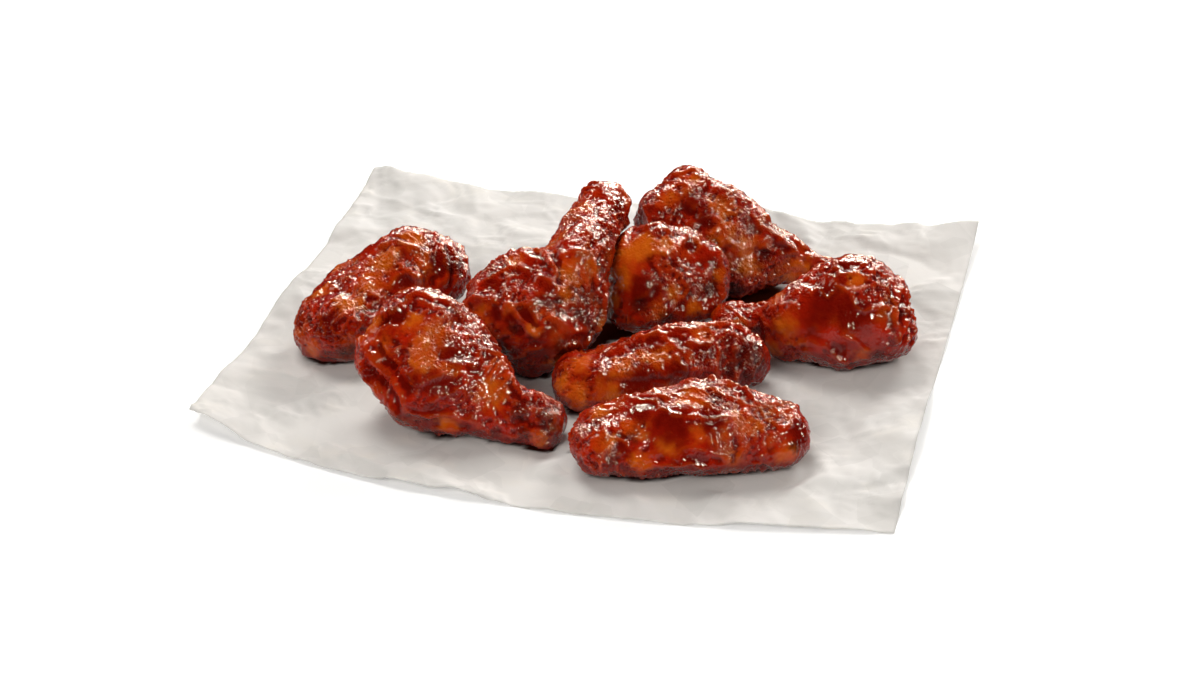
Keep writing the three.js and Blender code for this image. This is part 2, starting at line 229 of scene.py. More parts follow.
def readNormals(mesh):
    flat = np.empty(len(mesh.vertices) * 3)
    mesh.vertex_normals.foreach_get("vector", flat)
    return flat.reshape(-1, 3)


def writePoints(mesh, points):
    mesh.vertices.foreach_set("co", (points * mm).ravel())
    mesh.update()


def writeMask(mesh, name, values):
    layer = mesh.attributes.new(name, "FLOAT", "POINT")
    layer.data.foreach_set("value", np.clip(values, 0, 1).astype(np.float32))


def eased(mesh, values, rounds):  # evens values out over neighbouring points
    pairs = np.empty(len(mesh.edges) * 2, dtype=np.int64)
    mesh.edges.foreach_get("vertices", pairs)
    a, b = pairs[0::2], pairs[1::2]
    count = len(mesh.vertices)
    share = np.bincount(a, minlength=count) + np.bincount(b, minlength=count) + 1.0
    for _ in range(rounds):
        total = values + np.bincount(a, values[b], count) + np.bincount(b, values[a], count)
        values = total / share
    return values


def baked(piece):  # the piece with its modifiers applied
    solid = bpy.data.meshes.new_from_object(piece.evaluated_get(bpy.context.evaluated_depsgraph_get()))
    old = piece.data
    piece.modifiers.clear()
    piece.data = solid
    solid.name = piece.name
    bpy.data.meshes.remove(old)


def copyOf(node, name):  # the node's own form as a new piece, its loose triangles merged
    mesh = bpy.data.meshes.new(name)
    form = bmesh.new()
    form.from_mesh(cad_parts[node].data)
    bmesh.ops.remove_doubles(form, verts=form.verts, dist=2e-6)
    form.to_mesh(mesh)
    form.free()
    piece = bpy.data.objects.new(name, mesh)
    bpy.context.collection.objects.link(piece)
    return piece


def treeOf(nodes):  # for finding the nearest place on the nodes' forms
    form = bmesh.new()
    for node in nodes:
        form.from_mesh(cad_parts[node].data)
    tree = BVHTree.FromBMesh(form)
    form.free()
    return tree


def distances(tree, points, reach):  # mm, no more than reach
    found = (tree.find_nearest(Vector(p) * mm, reach * mm) for p in points)
    return np.array([reach if hit[3] is None else hit[3] / mm for hit in found])


def seenOn(tree, x, y):  # where the view's point x, y meets a form, in mm
    eye = bpy.context.scene.camera
    turn = eye.rotation_euler.to_matrix()
    wide, tall = camera["view"]
    focal = camera["lens"] / camera["sensor"] * wide
    ahead = (turn @ Vector((x - wide / 2, tall / 2 - y, -focal))).normalized()
    hit = tree.ray_cast(eye.location, ahead)[0]
    if hit is None:
        hit = tree.find_nearest(eye.location + ahead * camera["distance"] * mm)[0]
        for _ in range(6):  # nearest place to the sight line
            hit = tree.find_nearest(eye.location + ahead * (hit - eye.location).dot(ahead))[0]
    return np.array(hit) / mm


wingNames = [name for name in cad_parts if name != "paper_sheet"]
sheetTree = treeOf(["paper_sheet"])

wingSkin = {
    "voxel": 0.9,  # mm between points before the fine relief
    "softening": 5,  # rounds
    "subdivisions": 1,  # after the even mesh
    "swell": 0.05,  # mm, what rounding the facets took off
    "lumpSize": 9,
    "lumpHeight": 0.8,
    "strokeRise": 1.2,  # how much the drawn ridges and grooves are stressed
    "wrinkleSize": 6.0,
    "wrinkleHeight": 0.95,
    "creaseSize": 2.4,
    "creaseHeight": 0.38,
    "pimpleSize": 1.9,
    "pimpleHeight": 0.5,
    "filmHeight": 0.35,
    "patchSizes": {"bunched": 15, "rough": 11, "film": 13, "thin": 12, "deep": 10, "char": 9},  # mm
    "room": 0.45,  # share of the space to a neighbouring wing that the relief may take
    "pressed": (5.2, 3.4),  # mm to the next wing where skin starts to be squeezed, and is squeezed
    "contactShade": (3.4, 0.8),  # mm to the next wing where painted shade starts on the skin, and where it is full
    "reach": 12,  # mm, how far off a neighbour or the sheet matters
    "lift": 0.15,  # mm kept above the sheet
    "hollowRounds": 22,  # how widely the relief is evened to tell dips from tops
}

sheetTop = 0.4  # mm, the upper side of the sheet where it lies flat
aboveAll = 60  # mm, higher than any wing

# the skin's masks, as both the wings and their material know them
skinMasks = ("film", "thin", "deep", "char", "rough", "hollow", "contactShade")


def sheetHeights(points):
    down = Vector((0, 0, -1))
    heights = []
    for x, y, _ in points:
        hit = sheetTree.ray_cast(Vector((x, y, aboveAll)) * mm, down)
        heights.append(sheetTop if hit[0] is None else hit[0].z / mm)
    return np.array(heights)


def wrinkled(points, size, seed):  # thin winding ridges with finer ones between
    bend = np.stack([lumps(points, size * 1.7, seed + n) for n in (1, 2, 3)], axis=1) * size * 0.8
    first = lumps(points + bend, size, seed + 7)
    second = lumps(points + bend * 1.4, size * 0.55, seed + 17)
    ridge = 1 - np.minimum(1, np.abs(first) * 2.6)
    minor = 1 - np.minimum(1, np.abs(second) * 2.4)
    return ridge ** 1.6 + 0.45 * minor ** 1.5


def strokes(p, tree, lines):  # ridges and grooves drawn on the skin
    wander = np.stack([lumps(p, 5.5, 70 + n) for n in range(3)], axis=1) * 0.9
    uneven = 0.8 + 0.5 * lumps(p, 6, 77)
    total = np.zeros(len(p))
    for width, height, line in lines:
        d = toLine(p + wander, [seenOn(tree, x, y) for x, y in line])
        total += height * np.exp(-((d / width) ** 2)) * uneven
    return total


def patches(p, tree, spots, seed):  # soft-edged patches, from 0 to 1
    total = np.zeros(len(p))
    for x, y, radius in spots:
        d = np.linalg.norm(p - seenOn(tree, x, y), axis=1) / radius
        near = d < 1.8
        edge = 0.35 * lumps(p[near], radius * 0.9, seed) + 0.25 * lumps(p[near], radius * 0.35, seed + 1)
        total[near] = np.maximum(total[near], 1 - ramp(0.3, 1.2, d[near] + edge))
    return total


def evenlyMeshed(node, settings):  # the node's form with its facets rounded and its points evenly spaced
    piece = copyOf(node, node + "_glazed")
    rounder = piece.modifiers.new("rounder", "SUBSURF")
    rounder.levels = rounder.render_levels = 2
    evener = piece.modifiers.new("evener", "REMESH")
    evener.mode = "VOXEL"
    evener.voxel_size = settings["voxel"] * mm
    softer = piece.modifiers.new("softer", "SMOOTH")
    softer.factor = 0.5
    softer.iterations = settings["softening"]
    finer = piece.modifiers.new("finer", "SUBSURF")
    finer.levels = finer.render_levels = settings["subdivisions"]
    baked(piece)
    return piece


def skinOf(p, n, tree, seed, sizes, detail):  # where each kind of skin and sauce lies, and painted shade on the underside, from 0 to 1
    high = ramp(-0.2, 0.7, n[:, 2])
    smoothed = patches(p, tree, detail["film"], seed + 3)
    pimply = patches(p, tree, detail["pimply"], seed + 4)
    nearBlack = patches(p, tree, detail["char"], seed + 6)
    bunched = ramp(-0.3, 0.3, lumps(p, sizes["bunched"], seed + 31) + 0.2 * high)
    bunched = bunched * (1 - 0.8 * smoothed)
    rough = ramp(0.05, 0.5, lumps(p, sizes["rough"], seed + 41)) * 0.7
    rough = np.maximum(rough, pimply) * (1 - smoothed)
    film = lumps(p, sizes["film"], seed + 51) + 0.45 * lumps(p, 5.5, seed + 52) + 0.1
    film = np.maximum(ramp(-0.2, 0.3, film) * (1 - 0.7 * pimply), smoothed)
    thin = lumps(p, sizes["thin"], seed + 61) + 0.4 * lumps(p, 5, seed + 62)
    thin = np.maximum(0.45 * ramp(0.0, 0.7, thin), patches(p, tree, detail["thin"], seed + 7))
    deep = patches(p, tree, detail["deep"], seed + 8)
    thin = thin * (1 - deep)
    pooled = 0.6 * ramp(0.1, 0.6, lumps(p, sizes["deep"], seed + 63)) * (1 - thin)
    # painted shade: skin that faces down is darkened, and added to the deep sauce mask
    shadedUnderside = 0.95 * ramp(0.25, -0.4, n[:, 2]) * (1 - 0.5 * thin)
    deep = np.maximum(np.maximum(deep, pooled), shadedUnderside)
    char = np.maximum(0.85 * nearBlack, 0.25 * ramp(0.35, 0.8, lumps(p, sizes["char"], seed + 71)))
    return {
        "smoothed": smoothed,
        "bunched": bunched,
        "rough": rough,
        "film": film,
        "thin": thin,
        "deep": deep,
        "char": char,
    }


def reliefOf(p, tree, room, seed, skin, settings, detail):  # mm, from broad to fine
    relief = settings["swell"] + settings["lumpHeight"] * lumps(p, settings["lumpSize"], seed + 81)
    small = 0.55 * lumps(p, 4, seed + 82) + 0.3 * lumps(p, 2, seed + 83)
    relief += (1 - 0.75 * skin["smoothed"]) * small
    relief += settings["strokeRise"] * strokes(p, tree, detail["ridges"])
    folds = wrinkled(p, settings["wrinkleSize"], seed + 90)
    relief += settings["wrinkleHeight"] * skin["bunched"] * (folds - 0.45) * (1 - 0.5 * skin["film"])
    creases = wrinkled(p, settings["creaseSize"], seed + 95)
    relief += settings["creaseHeight"] * (creases - 0.45) * (1 - 0.85 * skin["film"])
    dots = 1 - ramp(0.05, 0.7, pimples(p, settings["pimpleSize"], seed + 5)[0])
    relief += settings["pimpleHeight"] * skin["rough"] * (dots - 0.4) * (1 - 0.7 * skin["film"])
    relief += settings["filmHeight"] * (skin["film"] - 0.5)
    most = settings["room"] * room
    pressed = ramp(*settings["pressed"], room)
    relief += pressed * (most - 0.35 + 0.7 * (creases - 0.45) - relief)
    return np.minimum(relief, most)


def makeWing(node, index, settings, detail):
    seed = 100 * (index + 1)
    piece = evenlyMeshed(node, settings)
    mesh = piece.data
    p, n = readPoints(mesh), readNormals(mesh)
    tree = treeOf([node])
    skin = skinOf(p, n, tree, seed, settings["patchSizes"], detail)
    room = distances(treeOf([other for other in wingNames if other != node]), p, settings["reach"])
    relief = reliefOf(p, tree, room, seed, skin, settings, detail)
    hollow = relief - eased(mesh, relief, settings["hollowRounds"])
    p = p + n * relief[:, None]
    low = p[:, 2] < settings["reach"]
    p[low, 2] = np.maximum(p[low, 2], sheetHeights(p[low]) + settings["lift"])
    writePoints(mesh, p)
    skin["hollow"] = 0.5 - hollow * (1.1 - 0.85 * skin["thin"])  # 0.5 is level, and more is a dip
    # painted shade where the skin lies close to the next wing
    skin["contactShade"] = ramp(*settings["contactShade"], room)
    for name in skinMasks:
        writeMask(mesh, name, skin[name])
    mesh.shade_smooth()
    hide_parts(node)
    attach(piece, "root")
    return piece


# What makes each wing its own: ridges and grooves as (half width, height, line), and patches of smooth
# sauce, rough pimply skin, thin and deep sauce, and skin that caught, as (x, y, radius). Here and for the
# paper, places are points of the view, and widths, heights and radii are in mm.
wingDetail = {
    "flat_left": {
        "ridges": [
            (1.0, 1.0, [(381, 247), (392, 243), (404, 244), (415, 249), (426, 255)]),
            (1.0, 1.1, [(391, 253), (398, 260), (403, 267), (412, 272), (420, 276)]),
            (0.9, 0.7, [(404, 236), (413, 234), (422, 237)]),
            (0.9, 0.7, [(408, 257), (418, 261), (426, 268)]),
            (1.3, 1.1, [(390, 285), (395, 279), (405, 274), (416, 275)]),
            (1.1, 1.0, [(362, 304), (365, 298), (373, 296), (379, 299), (375, 304), (367, 307)]),
            (1.0, 0.8, [(343, 278), (352, 280), (356, 286)]),
            (0.9, 0.7, [(329, 281), (336, 291)]),
            (1.2, 1.1, [(441, 244), (446, 262), (447, 282)]),
            (1.2, 1.0, [(452, 246), (456, 262), (455, 282)]),
            (1.3, 1.0, [(461, 248), (466, 262), (465, 276)]),
            (1.3, -1.2, [(449, 247), (451, 262), (451, 284)]),
            (2.2, -1.0, [(436, 252), (439, 270), (434, 283)]),
            (0.9, 0.7, [(343, 311), (350, 314), (356, 320)]),
            (1.0, 0.8, [(375, 316), (384, 312), (392, 309)]),
            (1.0, 0.7, [(318, 318), (327, 314), (333, 306)]),
        ],
        "film": [(400, 282, 5), (370, 301, 3), (372, 250, 6), (330, 296, 4)],
        "pimply": [(322, 322, 10), (345, 322, 8), (378, 266, 8), (360, 290, 5), (330, 345, 8)],
        "thin": [(372, 284, 7), (350, 303, 6), (386, 262, 7), (414, 240, 6), (428, 262, 6), (314, 349, 5),
                 (322, 291, 5), (340, 266, 5)],
        "deep": [(441, 262, 5), (454, 258, 5), (326, 326, 6), (371, 301, 3), (406, 280, 4), (300, 318, 4)],
        "char": [(452, 268, 4), (345, 352, 6), (310, 318, 2.5)],
    },
    "drumette_front_left": {
        "ridges": [
            (2.6, -2.2, [(384, 319), (397, 317), (410, 307)]),
            (1.1, 1.1, [(375, 319), (384, 313), (395, 308), (410, 301)]),
            (1.0, 1.1, [(408, 297), (420, 293), (432, 297), (445, 301), (456, 309), (465, 316)]),
            (0.9, 0.9, [(418, 301), (430, 305), (442, 310)]),
            (0.9, 0.9, [(436, 289), (443, 297), (452, 304)]),
            (1.8, 1.4, [(361, 341), (367, 352), (376, 362), (388, 374), (398, 385), (404, 398),
                        (403, 412)]),
            (1.6, -1.4, [(378, 346), (386, 358), (396, 371), (408, 388)]),
            (2.0, 1.2, [(359, 362), (364, 378), (379, 391), (390, 408), (400, 417)]),
            (1.6, -1.2, [(372, 372), (386, 384), (394, 398), (398, 410)]),
            (1.0, 1.0, [(482, 340), (486, 348), (479, 357), (472, 366)]),
            (1.1, 1.4, [(488, 352), (497, 357), (503, 363), (508, 372), (514, 383), (524, 393), (540, 396),
                        (553, 401), (561, 407)]),
            (1.8, -1.2, [(508, 384), (516, 395), (530, 402), (548, 407)]),
            (0.7, 0.7, [(495, 360), (489, 367), (484, 374)]),
            (0.7, 0.7, [(501, 364), (496, 373), (489, 380)]),
            (0.7, 0.7, [(508, 375), (503, 385), (497, 392)]),
            (0.7, 0.6, [(512, 384), (506, 391), (503, 400)]),
            (1.2, 1.2, [(410, 411), (425, 416), (448, 414), (468, 418), (479, 426)]),
            (1.5, -1.0, [(418, 423), (445, 423), (468, 427)]),
            (0.9, 0.8, [(444, 333), (456, 335), (470, 334), (480, 337)]),
            (0.9, 0.8, [(381, 345), (388, 353), (396, 350)]),
            (0.9, 0.7, [(430, 378), (444, 374), (456, 377)]),
            (2.0, -1.0, [(440, 352), (458, 356), (472, 352)]),
            (2.0, -0.8, [(428, 388), (446, 386), (460, 380)]),
            (1.2, -1.0, [(500, 428), (515, 420), (535, 424), (552, 420)]),
            (1.2, 0.9, [(515, 413), (530, 411), (546, 413)]),
            (1.3, 0.9, [(512, 436), (528, 432), (545, 434)]),
        ],
        "film": [(397, 314, 4), (456, 353, 7), (438, 386, 6), (368, 331, 6), (489, 391, 5), (450, 424, 6),
                 (378, 356, 4), (412, 323, 4)],
        "pimply": [(465, 405, 5), (530, 415, 10), (430, 357, 8), (432, 330, 8), (390, 348, 4),
                   (366, 366, 4), (490, 427, 5), (420, 395, 5)],
        "thin": [(369, 330, 7), (413, 322, 5), (488, 392, 6), (428, 358, 7), (436, 332, 6), (447, 368, 5),
                 (447, 424, 5), (385, 405, 4), (538, 441, 4), (420, 345, 5)],
        "deep": [(396, 315, 5), (457, 353, 7), (439, 386, 6), (475, 368, 4), (412, 384, 5), (368, 375, 4),
                 (430, 408, 4)],
        "char": [(520, 412, 5), (546, 420, 7), (524, 434, 4), (400, 418, 3), (496, 432, 3)],
    },
    "drumette_raised": {
        "ridges": [
            (1.0, 1.0, [(519, 266), (527, 270), (532, 275), (541, 277), (551, 282)]),
            (0.9, 0.8, [(523, 254), (533, 257), (541, 261)]),
            (1.2, 1.4, [(537, 250), (546, 255), (552, 263), (556, 273)]),
            (1.6, -1.4, [(545, 247), (555, 256), (561, 268), (560, 282)]),
            (1.0, 0.9, [(466, 288), (478, 283), (490, 279), (501, 271), (514, 267)]),
            (1.4, -1.0, [(502, 278), (499, 288), (502, 298)]),
            (1.0, 1.2, [(507, 303), (519, 304), (528, 306), (534, 312), (538, 319)]),
            (1.4, 1.6, [(509, 306), (517, 313), (522, 323), (530, 331), (537, 333), (542, 329)]),
            (2.4, -2.0, [(518, 308), (526, 315), (533, 323)]),
            (2.2, -1.8, [(493, 308), (497, 318), (510, 324), (516, 332)]),
            (1.3, 1.2, [(466, 303), (471, 314), (481, 325), (495, 336)]),
            (1.3, 1.0, [(470, 300), (482, 297), (494, 300)]),
            (1.5, 1.5, [(546, 312), (553, 319), (561, 326), (573, 330), (585, 328), (593, 320),
                        (597, 308)]),
            (2.4, -1.4, [(555, 306), (568, 312), (580, 312)]),
            (1.2, 1.4, [(604, 285), (604, 303), (602, 320), (596, 332), (588, 340)]),
            (1.3, -1.1, [(599, 285), (599, 302), (596, 318)]),
            (1.0, 0.9, [(562, 255), (575, 250), (590, 252), (602, 246)]),
            (0.9, 0.8, [(581, 262), (586, 280), (591, 300)]),
            (0.9, 0.8, [(593, 260), (598, 278), (600, 296)]),
            (0.9, 0.7, [(564, 262), (574, 276), (583, 292)]),
            (1.0, -0.9, [(588, 262), (592, 280), (596, 298)]),
            (1.4, -0.9, [(598, 205), (596, 225), (592, 244)]),
            (1.0, 0.8, [(609, 222), (607, 234), (604, 248)]),
            (1.0, 0.8, [(497, 336), (506, 334), (517, 340)]),
            (1.2, 1.0, [(515, 358), (525, 349), (540, 347)]),
        ],
        "film": [(528, 262, 6), (486, 282, 6), (525, 314, 3), (495, 313, 4), (560, 338, 9), (556, 240, 5),
                 (583, 338, 6)],
        "pimply": [(525, 290, 6), (572, 285, 8), (585, 300, 7), (582, 212, 8), (610, 225, 6),
                   (560, 318, 5), (590, 245, 5), (525, 362, 8)],
        "thin": [(556, 240, 6), (570, 272, 6), (578, 208, 6), (482, 315, 5), (533, 329, 3), (566, 292, 4),
                 (600, 325, 3), (515, 262, 4), (590, 270, 5), (555, 360, 5)],
        "deep": [(527, 313, 3), (494, 314, 4), (510, 322, 4), (490, 285, 4), (600, 235, 5), (545, 300, 5),
                 (585, 300, 4), (620, 205, 4)],
        "char": [(585, 318, 5), (560, 300, 3), (505, 350, 4), (512, 330, 3), (560, 345, 5)],
    },
    "drumette_centre": {
        "ridges": [
            (1.2, 1.0, [(618, 232), (632, 228), (644, 228), (652, 233), (662, 230), (673, 232), (685, 229),
                        (695, 234), (701, 241)]),
            (1.1, 1.4, [(649, 229), (658, 224), (667, 220), (675, 226)]),
            (0.9, 0.8, [(650, 238), (658, 245), (664, 240), (668, 234)]),
            (0.9, 0.7, [(652, 253), (658, 252), (664, 254)]),
            (1.3, 1.5, [(687, 239), (678, 246), (674, 255), (678, 263), (685, 268), (693, 270)]),
            (1.0, 1.3, [(669, 263), (674, 270), (682, 275), (694, 277)]),
            (2.0, -1.6, [(676, 262), (684, 271), (694, 273)]),
            (2.6, -1.2, [(690, 250), (692, 262), (700, 266)]),
            (2.4, 1.0, [(699, 242), (707, 247), (714, 255)]),
            (1.1, 1.6, [(716, 250), (720, 265), (722, 280), (725, 296)]),
            (1.4, -1.3, [(713, 262), (715, 278), (717, 292)]),
            (0.9, 0.9, [(672, 288), (676, 298), (684, 298), (688, 288), (683, 281)]),
            (1.4, -1.2, [(655, 290), (650, 300), (640, 303)]),
            (1.0, 0.9, [(692, 300), (700, 308), (706, 318)]),
            (1.2, -0.9, [(650, 258), (655, 270), (662, 282)]),
        ],
        "film": [(628, 262, 10), (640, 240, 8), (690, 252, 6), (640, 288, 8), (706, 250, 4), (630, 300, 6)],
        "pimply": [(700, 285, 8), (680, 290, 7), (660, 265, 5), (650, 312, 7), (668, 278, 5)],
        "thin": [(632, 250, 8), (622, 275, 7), (664, 246, 5), (640, 245, 6), (612, 300, 5), (695, 308, 4),
                 (675, 292, 4), (721, 275, 3), (655, 310, 5)],
        "deep": [(646, 292, 7), (620, 236, 5), (690, 245, 3), (705, 290, 5), (612, 258, 4), (640, 303, 5)],
        "char": [(640, 305, 4), (710, 290, 4), (665, 318, 4), (612, 315, 4)],
    },
    "drumette_back": {
        "ridges": [
            (1.0, 1.1, [(662, 186), (672, 182), (681, 183), (686, 191)]),
            (1.0, 0.9, [(667, 179), (675, 173), (686, 170), (700, 170)]),
            (2.0, 0.9, [(690, 187), (701, 184), (712, 186), (722, 194), (735, 203), (750, 210),
                        (765, 218)]),
            (0.8, 0.6, [(700, 180), (715, 183), (728, 192), (742, 200), (758, 206)]),
            (1.1, 1.2, [(757, 222), (763, 228), (771, 232), (783, 238)]),
            (1.0, 1.2, [(765, 247), (775, 251), (786, 254), (794, 251), (790, 244), (782, 240)]),
            (1.1, 1.1, [(778, 240), (790, 248), (801, 254), (816, 258), (828, 264)]),
            (1.0, 1.0, [(643, 207), (654, 205), (664, 210), (669, 219)]),
            (0.9, 0.8, [(644, 207), (648, 217), (650, 226)]),
            (1.8, -1.4, [(676, 198), (684, 208), (694, 214)]),
            (1.6, -1.2, [(700, 222), (715, 226), (732, 220)]),
            (0.9, 0.8, [(710, 236), (720, 224), (730, 224)]),
            (0.9, 0.7, [(731, 242), (742, 248), (752, 246), (762, 240)]),
            (1.4, -1.1, [(756, 252), (766, 253), (775, 252)]),
            (1.0, 0.8, [(705, 200), (712, 207), (709, 216)]),
            (0.9, 0.7, [(756, 272), (764, 279), (762, 288)]),
            (0.9, 0.7, [(800, 262), (806, 268), (812, 262)]),
        ],
        "film": [(678, 174, 4), (668, 188, 4), (790, 246, 5), (770, 238, 4), (652, 212, 3), (690, 205, 4)],
        "pimply": [(760, 276, 9), (700, 200, 7), (740, 225, 6), (735, 278, 7), (780, 265, 5),
                   (650, 196, 5)],
        "thin": [(724, 232, 6), (668, 198, 5), (748, 246, 7), (752, 266, 6), (722, 209, 6), (790, 278, 5),
                 (800, 265, 4), (693, 178, 3)],
        "deep": [(692, 206, 6), (702, 221, 5), (640, 216, 4), (765, 256, 4), (750, 226, 4), (785, 250, 3)],
        "char": [(765, 255, 3), (735, 292, 5), (676, 214, 2.5)],
    },
    "drumette_right": {
        "ridges": [
            (0.9, 1.1, [(834, 261), (835, 269), (842, 274), (856, 272)]),
            (2.2, -1.6, [(842, 266), (850, 267), (856, 266)]),
            (0.9, 0.9, [(838, 285), (848, 292), (860, 288), (873, 287)]),
            (0.9, 1.1, [(853, 296), (855, 305), (866, 310), (880, 305), (891, 309)]),
            (0.9, 1.0, [(876, 284), (887, 288), (893, 299)]),
            (0.9, 0.8, [(866, 278), (874, 270), (884, 264)]),
            (0.9, 0.8, [(858, 268), (868, 262), (874, 258)]),
            (1.2, 1.1, [(900, 286), (898, 305), (896, 322), (898, 341)]),
            (1.4, -1.0, [(893, 287), (890, 305), (890, 325)]),
            (1.4, -1.0, [(903, 295), (903, 308), (902, 322)]),
            (1.0, 0.8, [(907, 292), (911, 300), (907, 310), (909, 318)]),
            (1.0, 0.9, [(903, 328), (909, 321), (914, 330), (907, 341)]),
            (1.0, 0.8, [(778, 296), (790, 288), (804, 281), (815, 274), (828, 266)]),
            (0.8, 0.8, [(806, 287), (811, 295), (817, 288)]),
            (0.8, 0.7, [(822, 290), (828, 297), (832, 292)]),
            (1.2, 1.1, [(796, 344), (812, 341), (826, 346), (836, 357), (846, 364)]),
            (2.4, -1.5, [(826, 350), (834, 348), (842, 352)]),
            (0.8, 0.7, [(842, 334), (856, 341), (868, 350)]),
            (1.0, 0.8, [(718, 303), (734, 301), (752, 304)]),
            (1.2, 0.9, [(762, 322), (772, 330), (768, 342)]),
            (1.4, -1.0, [(750, 318), (758, 326), (762, 338)]),
            (1.0, 0.8, [(782, 305), (790, 303), (797, 306)]),
        ],
        "film": [(845, 330, 14), (820, 305, 9), (870, 330, 12), (800, 320, 7), (848, 266, 4),
                 (840, 300, 8), (858, 280, 3), (885, 270, 5)],
        "pimply": [(735, 315, 8), (765, 328, 5), (873, 297, 6), (908, 330, 4), (880, 356, 4)],
        "thin": [(787, 328, 6), (857, 280, 4), (776, 300, 4), (862, 356, 4), (770, 350, 5), (740, 322, 3)],
        "deep": [(832, 352, 4), (825, 305, 10), (848, 265, 4), (850, 312, 8), (893, 342, 3), (905, 312, 3)],
        "char": [(878, 356, 4), (755, 330, 3), (902, 312, 2)],
    },
    "flat_middle": {
        "ridges": [
            (1.0, 1.0, [(600, 373), (604, 362), (612, 352), (625, 345), (640, 336)]),
            (0.9, 0.9, [(594, 366), (600, 357), (610, 348)]),
            (1.1, 1.1, [(652, 325), (660, 330), (672, 331), (686, 328), (700, 328), (716, 324), (730, 324),
                        (741, 329)]),
            (0.9, 0.9, [(640, 338), (655, 333), (668, 336), (684, 334)]),
            (0.9, 0.9, [(666, 338), (673, 349), (682, 352)]),
            (1.4, 1.2, [(689, 343), (698, 347), (709, 344), (716, 338)]),
            (1.0, 1.1, [(716, 336), (728, 332), (738, 336), (748, 342), (759, 345)]),
            (1.8, -1.2, [(728, 344), (726, 358), (724, 374)]),
            (1.0, -0.9, [(744, 350), (742, 365), (744, 380)]),
            (1.2, 1.0, [(735, 350), (734, 364), (735, 378)]),
            (1.2, 1.0, [(752, 350), (752, 364), (753, 378)]),
            (0.8, 0.8, [(676, 356), (680, 364), (688, 370), (698, 368)]),
            (0.8, 0.7, [(700, 352), (710, 356), (712, 366)]),
            (2.0, -0.9, [(610, 381), (640, 383), (670, 380)]),
            (1.0, 0.7, [(585, 347), (596, 343), (606, 341)]),
            (0.8, 0.7, [(622, 358), (632, 362), (640, 358)]),
            (1.4, -0.9, [(648, 344), (656, 340), (664, 344)]),
        ],
        "film": [(640, 384, 8), (610, 384, 6), (583, 368, 4), (662, 342, 4), (690, 334, 3), (610, 356, 4)],
        "pimply": [(563, 374, 8), (575, 393, 7), (640, 363, 8), (620, 372, 6), (750, 360, 9),
                   (705, 365, 6), (588, 388, 4)],
        "thin": [(652, 357, 7), (626, 370, 7), (702, 336, 4), (582, 363, 5), (575, 394, 7), (610, 392, 6),
                 (668, 390, 6), (560, 382, 5)],
        "deep": [(640, 383, 7), (680, 372, 5), (652, 344, 4), (705, 356, 5), (640, 345, 3)],
        "char": [(750, 355, 8), (735, 362, 5), (762, 366, 5), (728, 372, 4), (748, 376, 4)],
    },
    "flat_front": {
        "ridges": [
            (1.0, 1.0, [(604, 402), (614, 399), (626, 398), (640, 401), (652, 403)]),
            (0.9, 0.9, [(640, 397), (655, 395), (668, 398)]),
            (0.8, 1.2, [(655, 402), (661, 410), (671, 415), (684, 417), (700, 416), (718, 418),
                        (736, 419)]),
            (2.6, -1.0, [(660, 422), (685, 425), (712, 424)]),
            (1.1, 1.2, [(688, 384), (702, 380), (715, 382), (729, 386), (745, 390), (753, 397)]),
            (1.0, 1.0, [(744, 386), (758, 386), (769, 392), (783, 399), (798, 407)]),
            (0.8, 0.8, [(758, 403), (771, 404), (781, 408)]),
            (0.8, 0.8, [(698, 391), (711, 397), (722, 406)]),
            (0.8, 0.8, [(714, 388), (727, 398), (739, 402)]),
            (0.8, 0.7, [(692, 398), (703, 404), (712, 410)]),
            (1.8, -1.6, [(622, 434), (632, 434), (640, 428)]),
            (1.0, 1.1, [(618, 437), (627, 442), (636, 438), (642, 431)]),
            (0.9, 0.8, [(586, 451), (595, 448), (604, 452), (606, 460), (598, 464), (590, 459)]),
            (1.0, 0.8, [(650, 452), (665, 448), (680, 451), (692, 446), (710, 452), (728, 460)]),
            (0.9, 0.7, [(660, 464), (676, 466), (690, 462), (702, 466)]),
            (1.6, -0.9, [(690, 458), (705, 462), (718, 460)]),
            (0.9, 0.8, [(713, 430), (717, 438), (718, 446)]),
            (0.9, 0.9, [(740, 440), (744, 448), (738, 456)]),
            (1.0, -0.8, [(733, 440), (736, 452), (732, 462)]),
            (0.9, 0.8, [(772, 420), (782, 428), (792, 424)]),
            (0.9, 0.7, [(600, 420), (606, 428), (604, 436)]),
            (0.9, 0.7, [(575, 430), (581, 438), (576, 446)]),
            (1.0, 0.8, [(745, 412), (752, 420), (762, 424)]),
        ],
        "film": [(670, 430, 12), (645, 412, 8), (700, 440, 9), (700, 458, 9), (792, 440, 7), (620, 412, 6),
                 (690, 405, 5), (735, 468, 6), (600, 440, 4)],
        "pimply": [(718, 398, 7), (590, 456, 6), (750, 425, 8), (770, 425, 7), (632, 438, 3),
                   (580, 432, 5), (740, 450, 6)],
        "thin": [(634, 428, 5), (746, 424, 6), (612, 444, 4), (690, 400, 6), (668, 444, 4), (640, 465, 5),
                 (786, 456, 5), (720, 436, 5), (598, 412, 4), (700, 432, 4)],
        "deep": [(672, 424, 9), (640, 410, 6), (595, 425, 4), (712, 426, 6), (800, 432, 5), (700, 462, 5),
                 (620, 450, 4)],
        "char": [(632, 436, 3.5), (716, 400, 4), (796, 446, 4), (612, 462, 4)],
    },
}

wings = [makeWing(name, index, wingSkin, wingDetail[name]) for index, name in enumerate(sorted(wingNames))]
print("wings made", sum(len(wing.data.vertices) for wing in wings), "points")

